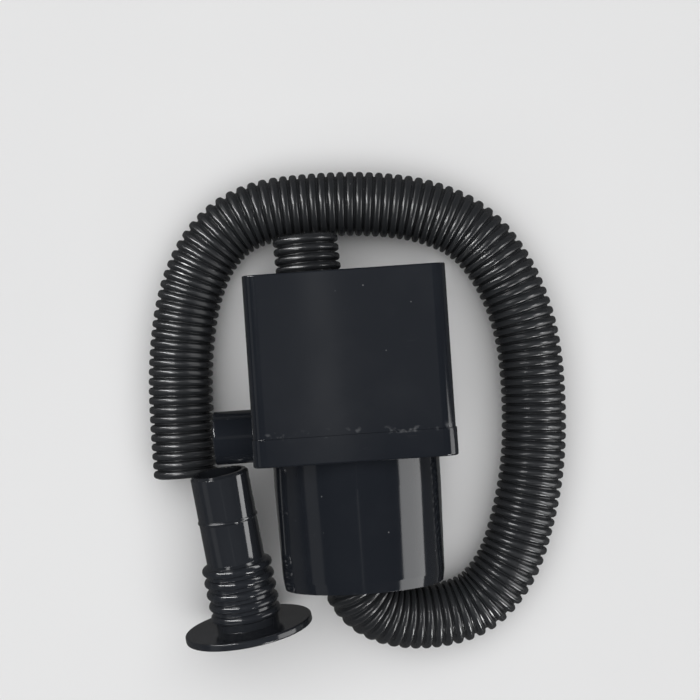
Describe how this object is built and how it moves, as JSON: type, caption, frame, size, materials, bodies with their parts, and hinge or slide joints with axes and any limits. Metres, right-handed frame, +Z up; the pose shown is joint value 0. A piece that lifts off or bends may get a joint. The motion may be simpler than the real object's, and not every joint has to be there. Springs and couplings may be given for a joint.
{
  "type": "rainwater diverter",
  "caption": "Square-socket downpipe rainwater diverter with round spigot and side outlet, laid flat with its corrugated hose and flanged butt connector.",
  "frame": {"origin": "Centre of the collar's back face, the lowest flat of the body as it lies, on the floor.", "axes": "+Z up from the floor. +Y along the pipe from the spigot to the socket's mouth. -X the way that the side outlet points."},
  "size_m": [0.1625, 0.1873, 0.0738],
  "materials": {
    "body_plastic": "glossy black moulded polypropylene",
    "hose_plastic": "satin black corrugated polyethylene",
    "connector_plastic": "glossy black moulded polypropylene"
  },
  "bodies": {
    "root": {"diverter_body": "body_plastic", "hose": "hose_plastic", "hose_connector": "connector_plastic"}
  },
  "joints": []
}
